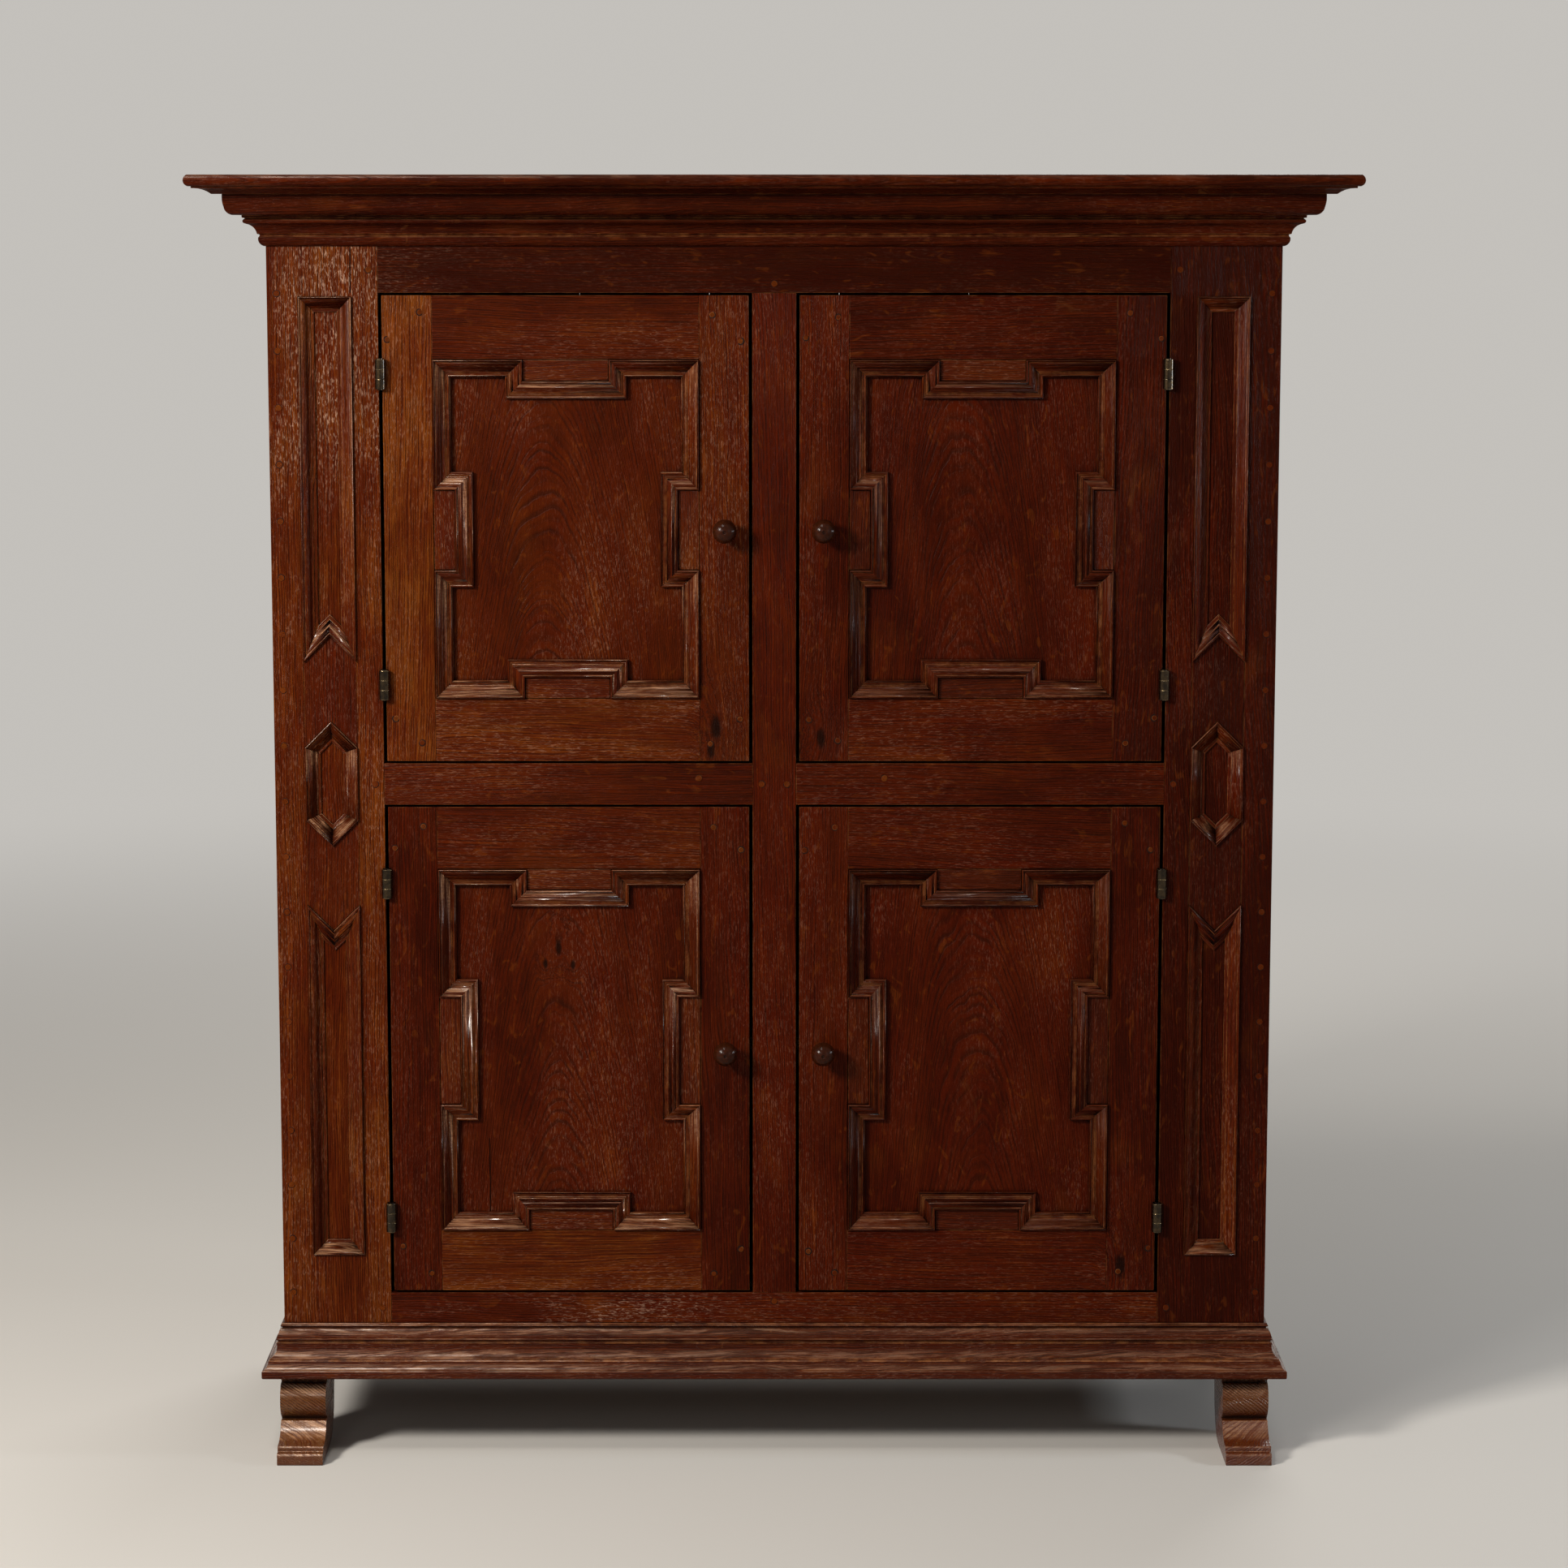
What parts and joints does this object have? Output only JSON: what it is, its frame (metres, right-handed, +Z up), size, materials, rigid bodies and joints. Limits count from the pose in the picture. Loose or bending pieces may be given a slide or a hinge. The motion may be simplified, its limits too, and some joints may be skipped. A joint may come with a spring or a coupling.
{
  "type": "linen press",
  "caption": "Tall joined oak linen press with framed doors on butt hinges, mitred stepped mouldings, moulded pilasters, turned knobs, deep cornice and scrolled front feet.",
  "frame": {"origin": "on the floor, under the middle of the press's overall width and depth", "axes": "+X to the right as seen from the front, +Y to the back, +Z up"},
  "size_m": [1.522, 0.614, 1.73],
  "materials": {
    "oak_frame": "dark waxed oak, ridged grain",
    "oak_panel": "dark waxed oak, cathedral grain",
    "oak_moulding": "dark waxed oak, worn edges",
    "oak_inside": "dry unwaxed oak",
    "oak_peg": "dark oak end grain",
    "knob_wood": "dark polished turned wood",
    "hinge_metal": "darkened aged brass"
  },
  "bodies": {
    "carcass": {"back_boards": "oak_inside", "back_rails": "oak_inside", "base_front": "oak_moulding", "base_returns": "oak_moulding", "bottom_board": "oak_inside", "cornice_front": "oak_moulding", "cornice_returns": "oak_moulding", "cornice_top": "oak_moulding", "frame_pegs": "oak_peg", "front_bottom_rail": "oak_frame", "front_foot_left": "oak_moulding", "front_foot_right": "oak_moulding", "front_middle_rails": "oak_frame", "front_muntin": "oak_frame", "front_stile_left": "oak_frame", "front_stile_right": "oak_frame", "front_top_rail": "oak_frame", "hinge_frame_leaves": "hinge_metal", "hinge_pins": "hinge_metal", "middle_board": "oak_inside", "pilaster_moulding_left": "oak_moulding", "pilaster_moulding_right": "oak_moulding", "rear_feet": "oak_moulding", "shelf_bearers": "oak_inside", "shelf_lower": "oak_inside", "shelf_upper": "oak_inside", "side_panels_left": "oak_panel", "side_panels_right": "oak_panel", "side_posts_left": "oak_frame", "side_posts_right": "oak_frame", "side_rails_left": "oak_frame", "side_rails_right": "oak_frame"},
    "door_upper_left": {"door_upper_left_hinge_leaves": "hinge_metal", "door_upper_left_moulding": "oak_moulding", "door_upper_left_panel": "oak_panel", "door_upper_left_rails": "oak_frame", "door_upper_left_stiles": "oak_frame"},
    "latch_upper_left": {"knob_upper_left": "knob_wood", "turn_button_upper_left": "oak_inside"},
    "door_upper_right": {"door_upper_right_hinge_leaves": "hinge_metal", "door_upper_right_moulding": "oak_moulding", "door_upper_right_panel": "oak_panel", "door_upper_right_rails": "oak_frame", "door_upper_right_stiles": "oak_frame"},
    "latch_upper_right": {"knob_upper_right": "knob_wood", "turn_button_upper_right": "oak_inside"},
    "door_lower_left": {"door_lower_left_hinge_leaves": "hinge_metal", "door_lower_left_moulding": "oak_moulding", "door_lower_left_panel": "oak_panel", "door_lower_left_rails": "oak_frame", "door_lower_left_stiles": "oak_frame"},
    "latch_lower_left": {"knob_lower_left": "knob_wood", "turn_button_lower_left": "oak_inside"},
    "door_lower_right": {"door_lower_right_hinge_leaves": "hinge_metal", "door_lower_right_moulding": "oak_moulding", "door_lower_right_panel": "oak_panel", "door_lower_right_rails": "oak_frame", "door_lower_right_stiles": "oak_frame"},
    "latch_lower_right": {"knob_lower_right": "knob_wood", "turn_button_lower_right": "oak_inside"}
  },
  "joints": [
    {"name": "door_upper_left_hinge", "type": "hinge", "parent": "carcass", "child": "door_upper_left", "pos_m": [-0.51875, -0.218, 1.264], "axis": [0, 0, -1], "range_deg": [0, 170]},
    {"name": "latch_upper_left_turn", "type": "hinge", "parent": "door_upper_left", "child": "latch_upper_left", "pos_m": [-0.0655, -0.213, 1.264], "axis": [0, -1, 0], "range_deg": [0, 90]},
    {"name": "door_upper_right_hinge", "type": "hinge", "parent": "carcass", "child": "door_upper_right", "pos_m": [0.51875, -0.218, 1.264], "axis": [0, 0, 1], "range_deg": [0, 170]},
    {"name": "latch_upper_right_turn", "type": "hinge", "parent": "door_upper_right", "child": "latch_upper_right", "pos_m": [0.0655, -0.213, 1.264], "axis": [0, 1, 0], "range_deg": [0, 90]},
    {"name": "door_lower_left_hinge", "type": "hinge", "parent": "carcass", "child": "door_lower_left", "pos_m": [-0.51875, -0.218, 0.5605], "axis": [0, 0, -1], "range_deg": [0, 170]},
    {"name": "latch_lower_left_turn", "type": "hinge", "parent": "door_lower_left", "child": "latch_lower_left", "pos_m": [-0.0655, -0.213, 0.5605], "axis": [0, -1, 0], "range_deg": [0, 90]},
    {"name": "door_lower_right_hinge", "type": "hinge", "parent": "carcass", "child": "door_lower_right", "pos_m": [0.51875, -0.218, 0.5605], "axis": [0, 0, 1], "range_deg": [0, 170]},
    {"name": "latch_lower_right_turn", "type": "hinge", "parent": "door_lower_right", "child": "latch_lower_right", "pos_m": [0.0655, -0.213, 0.5605], "axis": [0, 1, 0], "range_deg": [0, 90]}
  ]
}
